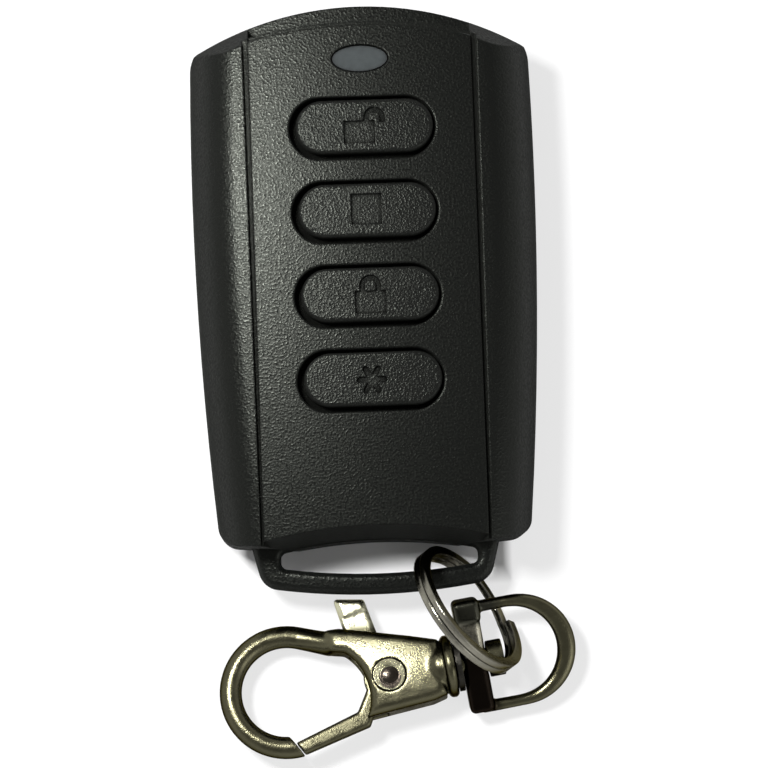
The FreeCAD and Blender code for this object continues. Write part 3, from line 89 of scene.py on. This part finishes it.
# Node trees
def grey(share):
    return (share, share, share)


BLACK, WHITE = grey(0.0), grey(1.0)
CAMERA_RAYS = ("Is Camera Ray",)
MIRROR_RAYS = ("Is Glossy Ray", "Is Transmission Ray")
# a mix node's two inputs and its result, for each kind of data
MIX_SOCKETS = {"RGBA": (6, 7, 2), "VECTOR": (4, 5, 1)}
# a normal that rises less than this belongs to a flank
FLANK_RISE = 0.35
# rays by which a node feels for edges and gaps
PROBES = 6


class Nodes:
    """The node tree of a material or a world, with short calls for the nodes that it needs."""

    def __init__(self, owner, shader="Principled BSDF", place="Object"):
        owner.use_nodes = True
        self.owner = owner
        self.tree = owner.node_tree
        self.shader = self.tree.nodes[shader]
        self.coordinates = self.add("ShaderNodeTexCoord")
        self.place = self.coordinates.outputs[place]

    def add(self, kind, **values):
        node = self.tree.nodes.new(kind)
        for key, value in values.items():
            setattr(node, key, value)
        return node

    def put(self, value, target):
        """Links a socket to the target, or sets a number or a colour on it."""
        if isinstance(value, bpy.types.NodeSocket):
            self.tree.links.new(value, target)
        else:
            target.default_value = (*value, 1) if isinstance(value, tuple) else value

    def shade(self, **sockets):
        """Sets or feeds the shader's inputs, which the keys name in lower case."""
        for key, value in sockets.items():
            name = key.replace("_", " ").title().replace("Ior", "IOR")
            self.put(value, self.shader.inputs[name])

    def math(self, operation, *values):
        node = self.add("ShaderNodeMath", operation=operation)
        for target, value in zip(node.inputs, values):
            self.put(value, target)
        return node.outputs["Value"]

    def noise(self, scale, detail=2.0, roughness=0.5):
        """A noise whose scale counts per metre."""
        node = self.add("ShaderNodeTexNoise")
        node.inputs["Scale"].default_value = scale
        node.inputs["Detail"].default_value = detail
        node.inputs["Roughness"].default_value = roughness
        self.put(self.place, node.inputs["Vector"])
        return node.outputs["Fac"]

    def ramp(self, value, stops, low=BLACK, high=WHITE):
        """The low colour up to the first stop, the high colour beyond the second."""
        node = self.add("ShaderNodeValToRGB")
        for point, stop, colour in zip(node.color_ramp.elements, stops, (low, high)):
            point.position = stop
            point.color = (*colour, 1)
        self.put(value, node.inputs["Fac"])
        return node.outputs["Color"]

    def map_range(self, value, start, end, low=0.0, high=1.0):
        """The low number up to the start, the high number beyond the end."""
        node = self.add("ShaderNodeMapRange")
        node.inputs["From Min"].default_value = start
        node.inputs["From Max"].default_value = end
        node.inputs["To Min"].default_value = low
        node.inputs["To Max"].default_value = high
        self.put(value, node.inputs["Value"])
        return node.outputs["Result"]

    def blend(self, share, first, second, data_type="RGBA"):
        """The first colour or vector where the share is 0, the second where it is 1."""
        first_input, second_input, result = MIX_SOCKETS[data_type]
        node = self.add("ShaderNodeMix", data_type=data_type)
        self.put(share, node.inputs["Factor"])
        self.put(first, node.inputs[first_input])
        self.put(second, node.inputs[second_input])
        return node.outputs[result]

    def blend_shaders(self, share, first, second):
        node = self.add("ShaderNodeMixShader")
        for target, value in zip(node.inputs, (share, first, second)):
            self.put(value, target)
        return node.outputs["Shader"]

    def bump(self, height, distance, normal=None):
        node = self.add("ShaderNodeBump")
        node.inputs["Distance"].default_value = distance
        self.put(height, node.inputs["Height"])
        if normal is not None:
            self.put(normal, node.inputs["Normal"])
        return node.outputs["Normal"]

    def part(self, vector, axis):
        node = self.add("ShaderNodeSeparateXYZ")
        self.put(vector, node.inputs["Vector"])
        return node.outputs[axis]

    def along(self, axis, start, end):
        """0 up to the first place on an axis, 1 beyond the second, both in millimetres."""
        return self.map_range(self.part(self.place, axis), start * MM, end * MM)

    def facing_up(self, level):
        """0 on the flanks of the piece, 1 on its front and back, where the normal reaches the level."""
        rise = self.math("ABSOLUTE", self.part(self.coordinates.outputs["Normal"], "Z"))
        return self.ramp(rise, (FLANK_RISE, level))

    def open_air(self, reach, stops):
        """0 deep in a gap, 1 in the open."""
        node = self.add("ShaderNodeAmbientOcclusion", samples=PROBES)
        node.inputs["Distance"].default_value = reach
        return self.ramp(node.outputs["AO"], stops)

    def soft_edges(self, radius):
        node = self.add("ShaderNodeBevel", samples=PROBES)
        node.inputs["Radius"].default_value = radius
        return node.outputs["Normal"]

    def crown(self, middle, radii, normal):
        """The light of a face that is slightly crowned in X and Y."""
        for axis, centre, radius in zip("XY", middle, radii):
            off = self.math("SUBTRACT", self.part(self.place, axis), centre)
            square = self.math("MULTIPLY", off, off)
            normal = self.bump(self.math("MULTIPLY", square, -0.5 / radius), 1.0, normal)
        return normal

    def rays(self, kinds):
        """1 for rays of these kinds, 0 for the light on its way to the object."""
        path = self.add("ShaderNodeLightPath")
        value = path.outputs[kinds[0]]
        for kind in kinds[1:]:
            value = self.math("MAXIMUM", value, path.outputs[kind])
        return value


# Plastics; a pair of stops holds the ends of a ramp
MIDDLE_STOPS = (0.35, 0.65)
GRAIN_STOPS = (0.32, 0.68)
HOLLOW_ROUGHNESS, TOP_ROUGHNESS = grey(0.46), grey(0.2)
FLANK_ROUGHNESS, GAP_ROUGHNESS = grey(0.95), grey(1.0)
GAP_REACH = 1.2 * MM
PLASTIC_LEVEL = 0.85
PLASTIC_DARK = (0.001, 0.0011, 0.0011)
PLASTIC_SHINE = 0.19
PLASTIC_TINT = (0.95, 1.0, 0.88)
PANEL_MIDDLE = (0.0, 8 * MM)
PANEL_CROWN = (0.1, 0.35)
PALE_STOPS = (0.3, 0.7)
PALER = 1.2
PLAIN_DEPTH = 0.01 * MM
# painted shade on the rim of a sunk part: how far it reaches, its ramp and its dark colour
SUNK_REACH = 1.0 * MM
SUNK_STOPS = (0.7, 0.88)
SUNK_RIM_SHADE = grey(0.001)


def textured_plastic(name, light, grain, depth, edge, gap_stops):
    """Moulded plastic with a spark-eroded grain, matt on the flanks, and painted shade that turns it
    black deep in its gaps.
    """
    m = Nodes(bpy.data.materials.new(name))
    fine = m.noise(grain, detail=1.5)
    # painted shade: the occlusion mask blends the colour to black deep in gaps, where shade falls
    lit = m.open_air(GAP_REACH, gap_stops)
    rough = m.ramp(fine, GRAIN_STOPS, HOLLOW_ROUGHNESS, TOP_ROUGHNESS)
    rough = m.blend(m.facing_up(PLASTIC_LEVEL), FLANK_ROUGHNESS, rough)
    form = m.crown(PANEL_MIDDLE, PANEL_CROWN, m.soft_edges(edge))
    m.shade(base_color=m.blend(lit, BLACK, m.ramp(fine, MIDDLE_STOPS, PLASTIC_DARK, light)),
            roughness=m.blend(lit, GAP_ROUGHNESS, rough), normal=m.bump(fine, depth, form),
            specular_ior_level=PLASTIC_SHINE, specular_tint=PLASTIC_TINT)
    return m.owner


def plain_plastic(name, colour, roughness, grain=3000, sunk=False):
    """Smooth plastic; where it is sunk in a hole, its rim is darkened with painted shade."""
    m = Nodes(bpy.data.materials.new(name))
    fine = m.noise(grain, detail=3.0)
    pale = tuple(min(1.0, share * PALER) for share in colour)
    skin = m.ramp(fine, PALE_STOPS, colour, pale)
    if sunk:
        skin = m.blend(m.open_air(SUNK_REACH, SUNK_STOPS), SUNK_RIM_SHADE, skin)
    m.shade(base_color=skin, roughness=roughness, normal=m.bump(fine, PLAIN_DEPTH))
    return m.owner


# Metals
PIT_GRAIN = 5500
PIT_DEPTH = 0.02 * MM
METAL_LEVEL = 0.92
METAL_TINT = (0.35, 0.33, 0.25)
# a finer noise than the patches' own makes the metal brighter and duller by these shares
DULL_FINER = 3
DULL_STOPS = (0.3, 0.75)
BRIGHT_SHARE, DULL_SHARE = 0.8, 1.4
# the slight crown of the clasp's plate, and where the plate starts after the hook
PLATE_MIDDLE = Vector((8.5, -43.2)) * MM
PLATE_CROWN = (0.07, 0.022)
PLATE_START = ("X", -8, -4)
# painted highlights on the lever and the bar, and the bar's dark and dull parts: an axis, and the
# places in millimetres between which each sets in
LEVER_HIGHLIGHT_SPAN = ("Y", -39.2, -38.4)
BAR_HIGHLIGHT_SPAN = ("Y", -43.0, -42.0)
BAR_END = ("Y", -39.6, -39.0)
BAR_SIDE = ("X", 12.6, 14.2)
# the colour of the lever's painted highlight
LEVER_HIGHLIGHT = (0.6, 0.59, 0.42)
# the bar's painted highlight above, its dark lower part and its dull end
BAR_HIGHLIGHT, BAR_DARK, BAR_DULL = (0.4, 0.38, 0.3), (0.011, 0.0083, 0.0062), (0.05, 0.05, 0.038)
# the rivet's dome darkened with painted shade, as a share of its head's radius
RIVET_RADIUS = 2 * MM
DOME_STOPS = (0.58, 0.64)
DOME_SHADE = (0.06, 0.05, 0.04)


def plated_metal(name, light, dark, roughness, edge=0.1 * MM, patches=300, waves=0.03 * MM,
                 flank_share=0.25, finish=None, crowned=False):
    """Plated cast metal with faint waves and fine pits; its flanks are painted darker than its faces, a
    painted dark reflection.
    """
    m = Nodes(bpy.data.materials.new(name))
    broad = m.noise(patches, detail=3.0, roughness=0.55)
    fine = m.noise(PIT_GRAIN, roughness=0.6)
    # painted dark reflection: the flanks get a share of the dark colour
    flank = tuple(share * flank_share for share in dark)
    face = m.blend(fine, m.ramp(broad, MIDDLE_STOPS, dark, light), light)
    skin = m.blend(m.facing_up(METAL_LEVEL), flank, face)
    if finish:
        skin = finish(m, skin)
    form = m.soft_edges(edge)
    if crowned:
        form = m.blend(m.along(*PLATE_START), form, m.crown(PLATE_MIDDLE, PLATE_CROWN, form), "VECTOR")
    dull = m.ramp(m.noise(patches * DULL_FINER, detail=4.0), DULL_STOPS,
                  grey(roughness * BRIGHT_SHARE), grey(roughness * DULL_SHARE))
    m.shade(base_color=skin, roughness=dull, normal=m.bump(fine, PIT_DEPTH, m.bump(broad, waves, form)),
            metallic=1.0, specular_tint=METAL_TINT)
    return m.owner


def lever_painted_highlight(m, skin):
    """A painted highlight: the gate's lever pad is painted bright, as the lamp's reflection on it."""
    return m.blend(m.along(*LEVER_HIGHLIGHT_SPAN), skin, LEVER_HIGHLIGHT)


def dark_bar(m, skin):
    """The eye's cross-bar is dark below, painted bright above as a painted highlight, and dull at its
    end.
    """
    # painted highlight: the upper bar is painted bright, above its dark lower part
    upper = m.blend(m.along(*BAR_END), BAR_HIGHLIGHT, BAR_DULL)
    bar = m.blend(m.along(*BAR_HIGHLIGHT_SPAN), BAR_DARK, upper)
    return m.blend(m.along(*BAR_SIDE), bar, skin)


def middle_of(node):
    """The middle of a node, seen from above."""
    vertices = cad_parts[node].data.vertices
    sides = [sorted(vertex.co[axis] for vertex in vertices) for axis in (0, 1)]
    return [(side[0] + side[-1]) / 2 for side in sides] + [0]


def dark_middle(m, skin):
    """The rivet's dome is painted dark inside its bright rim, painted shade in its hollow."""
    flat = m.add("ShaderNodeVectorMath", operation="MULTIPLY")
    m.put(m.place, flat.inputs[0])
    flat.inputs[1].default_value = (1, 1, 0)
    far = m.add("ShaderNodeVectorMath", operation="DISTANCE")
    m.put(flat.outputs["Vector"], far.inputs[0])
    far.inputs[1].default_value = middle_of("gate_rivet")
    away = m.math("DIVIDE", far.outputs["Value"], RIVET_RADIUS)
    return m.blend(m.ramp(away, DOME_STOPS), DOME_SHADE, skin)


OLIVE, DARK_OLIVE = (0.12, 0.113, 0.07), (0.08, 0.075, 0.045)
SHELL = textured_plastic("shell_black", (0.004, 0.0043, 0.004), grain=4000, depth=0.05 * MM,
                         edge=0.25 * MM, gap_stops=(0.35, 0.75))
CAP = textured_plastic("cap_black", (0.006, 0.0063, 0.006), grain=4500, depth=0.08 * MM,
                       edge=0.15 * MM, gap_stops=(0.5, 0.92))
NICKEL = plated_metal("nickel", OLIVE, DARK_OLIVE, 0.24, edge=0.3 * MM, crowned=True)
GATE_METAL = plated_metal("gate_nickel", OLIVE, DARK_OLIVE, 0.28, edge=0.3 * MM, waves=0.01 * MM,
                          finish=lever_painted_highlight)
EYE_METAL = plated_metal("eye_nickel", OLIVE, DARK_OLIVE, 0.2, edge=0.3 * MM, finish=dark_bar)
RIVET_METAL = plated_metal("rivet_nickel", (0.26, 0.25, 0.165), (0.2, 0.19, 0.125), 0.22,
                           finish=dark_middle)
RING_METAL = plated_metal("ring_steel", (0.3, 0.29, 0.24), (0.2, 0.19, 0.155), 0.16, edge=0.4 * MM,
                          patches=1100, waves=0.02 * MM, flank_share=0.6)
DARK_METAL = plated_metal("dark_metal", (0.05, 0.047, 0.04), (0.02, 0.019, 0.016), 0.3)
BRIGHT_METAL = plated_metal("bright_metal", (0.75, 0.75, 0.74), (0.6, 0.6, 0.6), 0.2)
COPPER = plated_metal("copper", (0.8, 0.45, 0.28), (0.6, 0.3, 0.18), 0.25)
LENS = plain_plastic("lens", (0.036, 0.042, 0.043), 0.2, grain=1500, sunk=True)
BOARD = plain_plastic("board_green", (0.02, 0.14, 0.05), 0.35)
CHIP = plain_plastic("chip_black", (0.02, 0.02, 0.021), 0.5)
RED = plain_plastic("plunger_red", (0.5, 0.05, 0.04), 0.4)
TRIMMER = plain_plastic("trimmer_yellow", (0.6, 0.5, 0.15), 0.4)

NODE_MATERIALS = {
    SHELL: ["front_shell", "back_shell"],
    CAP: ["button_open", "button_stop", "button_close", "button_aux"],
    NICKEL: ["clasp_body"],
    RIVET_METAL: ["gate_rivet"],
    GATE_METAL: ["clasp_gate"],
    EYE_METAL: ["swivel_eye"],
    RING_METAL: ["split_ring"],
    DARK_METAL: ["swivel_washer"],
    BRIGHT_METAL: ["coin_cell", "battery_clip", "battery_contact", "resonator_can", "quartz_crystal",
                   "case_screws", "gate_spring"],
    COPPER: ["wire_antenna"],
    LENS: ["light_pipe"],
    BOARD: ["circuit_board"],
    CHIP: ["encoder_chip", "chip_parts", "switch_open", "switch_stop", "switch_close", "switch_aux"],
    RED: ["plunger_open", "plunger_stop", "plunger_close", "plunger_aux", "status_led"],
    TRIMMER: ["trimmer"],
}
for material, names in NODE_MATERIALS.items():
    for name in names:
        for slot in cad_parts[name].material_slots:
            slot.material = material


# Die castings: the nodes' forms with the soft edges and flowing corners of cast metal
CAST_GRID = 0.11 * MM
CAST_PASSES = 9
BLEND_PASSES = 90
EYE_PASSES = 130
# how fast a blend comes to its full strength from its edge to its centre
BLEND_RISE = 2
# where a casting's forms run into each other: centre and reach
HOOK_ROOT = (Vector((-5.85, -40.6, 2.8)) * MM, 3.4 * MM)
NECK_ROOT = (Vector((5.4, -44.05, 3.6)) * MM, 3.2 * MM)
EYE_BOW = (Vector((19.0, -41.8, 3.8)) * MM, 9.0 * MM)


def settled(skin):
    """Puts the result of an object's modifiers into its mesh."""
    evaluated = skin.evaluated_get(bpy.context.evaluated_depsgraph_get())
    mesh = bpy.data.meshes.new_from_object(evaluated)
    skin.modifiers.clear()
    skin.data = mesh
    return mesh


def soften(skin, passes, group=""):
    smooth = skin.modifiers.new("soften", "SMOOTH")
    smooth.iterations = passes
    smooth.vertex_group = group


def cast_skin(node, body, blends=(), blend_passes=BLEND_PASSES):
    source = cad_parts[node]
    skin = bpy.data.objects.new(node + "_casting", source.data.copy())
    bpy.context.scene.collection.objects.link(skin)
    grid = skin.modifiers.new("grid", "REMESH")
    grid.mode = "VOXEL"
    grid.voxel_size = CAST_GRID
    soften(skin, CAST_PASSES)
    mesh = settled(skin)
    if blends:
        group = skin.vertex_groups.new(name="blend")
        for vertex in mesh.vertices:
            share = max(1 - (vertex.co - centre).length / reach for centre, reach in blends)
            if share > 0:
                group.add([vertex.index], min(1.0, BLEND_RISE * share), "REPLACE")
        soften(skin, blend_passes, group.name)
        mesh = settled(skin)
        skin.vertex_groups.clear()
    mesh.materials.clear()
    mesh.materials.append(source.material_slots[0].material)
    mesh.polygons.foreach_set("use_smooth", [True] * len(mesh.polygons))
    mesh.polygons.foreach_set("material_index", [0] * len(mesh.polygons))
    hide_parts(node)
    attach(skin, body)


cast_skin("clasp_body", "clasp", (HOOK_ROOT, NECK_ROOT))
cast_skin("clasp_gate", "gate")
cast_skin("swivel_eye", "eye", (EYE_BOW,), EYE_PASSES)


# Studio: white floor and surroundings with painted shade on the floor at the case, a small key lamp at
# the upper left and a weak fill
FLOOR_SIZE = 3
FLOOR_GAP = 0.05 * MM
FLOOR_GLOW = 0.7
FLOOR_WHITE, FLOOR_ROUGHNESS = grey(0.9), 0.9
# the case's footprint, and how far out the floor turns white, where 0.5 is the footprint's edge; short
# of that the floor's glow is off, a painted shadow under the case for the camera and a painted dark
# reflection beside it for mirrored rays
FOOTPRINT_HALF = Vector((15.5, 31.0)) * MM
FOOTPRINT_MIDDLE = -3.5 * MM
SEEN_SHADOW_STOPS = (0.465, 0.5)
MIRRORED_SHADE_STOPS = (0.6, 0.85)
# a lamp's place, its side and its watts; both shine at the frame's origin
KEY_LAMP = (Vector((-0.1, 0.05, 0.26)), 0.05, 1.1)
FILL_LAMP = (Vector((0.4, -0.3, 0.4)), 0.3, 0.5)
# mirrored surroundings are white below the first height and dim above the second
HORIZON = (0.3, 0.8)
WORLD_LIGHT, WORLD_WHITE = 0.3, 1.0


def make_floor():
    bpy.ops.mesh.primitive_plane_add(size=FLOOR_SIZE, location=(0, 0, cad_box[0][2] - FLOOR_GAP))
    floor = bpy.context.object
    floor.name = "floor"
    m = Nodes(bpy.data.materials.new("floor_white"))
    m.shade(base_color=FLOOR_WHITE, roughness=FLOOR_ROUGHNESS, specular_ior_level=0.0)
    across = m.math("ABSOLUTE", m.math("DIVIDE", m.part(m.place, "X"), FOOTPRINT_HALF.x))
    along = m.math("SUBTRACT", m.part(m.place, "Y"), FOOTPRINT_MIDDLE)
    along = m.math("ABSOLUTE", m.math("DIVIDE", along, FOOTPRINT_HALF.y))
    # painted shadow and painted dark reflection: no glow over the case's footprint, and for mirrored
    # rays none a little beyond it
    out = m.math("DIVIDE", m.math("MAXIMUM", across, along), 2)
    seen = m.math("MULTIPLY", m.rays(CAMERA_RAYS), m.ramp(out, SEEN_SHADOW_STOPS))
    mirrored = m.math("MULTIPLY", m.rays(MIRROR_RAYS), m.ramp(out, MIRRORED_SHADE_STOPS))
    share = m.math("MULTIPLY", m.math("MAXIMUM", seen, mirrored), FLOOR_GLOW)
    glow = m.add("ShaderNodeEmission").outputs["Emission"]
    surface = m.blend_shaders(share, m.shader.outputs["BSDF"], glow)
    # seen from below, the floor lets the object's back through
    clear = m.add("ShaderNodeBsdfTransparent").outputs["BSDF"]
    surface = m.blend_shaders(m.add("ShaderNodeNewGeometry").outputs["Backfacing"], surface, clear)
    m.put(surface, m.tree.nodes["Material Output"].inputs["Surface"])
    floor.data.materials.append(m.owner)


def make_lamp(name, place, side, watts):
    data = bpy.data.lights.new(name, "AREA")
    data.size = side
    data.energy = watts
    lamp = bpy.data.objects.new(name, data)
    lamp.location = place
    lamp.rotation_euler = (-place).to_track_quat("-Z", "Y").to_euler()
    bpy.context.scene.collection.objects.link(lamp)


def make_world():
    m = Nodes(bpy.data.worlds.new("studio"), "Background", "Generated")
    horizon = m.map_range(m.part(m.place, "Z"), *HORIZON, 1.0, 0.0)
    mirrored = m.math("MULTIPLY", m.rays(MIRROR_RAYS), horizon)
    share = m.math("MAXIMUM", m.rays(CAMERA_RAYS), mirrored)
    m.shade(color=WHITE, strength=m.map_range(share, 0.0, 1.0, WORLD_LIGHT, WORLD_WHITE))
    bpy.context.scene.world = m.owner


make_floor()
make_lamp("key", *KEY_LAMP)
make_lamp("fill", *FILL_LAMP)
make_world()
bpy.context.scene.view_settings.view_transform = "Standard"
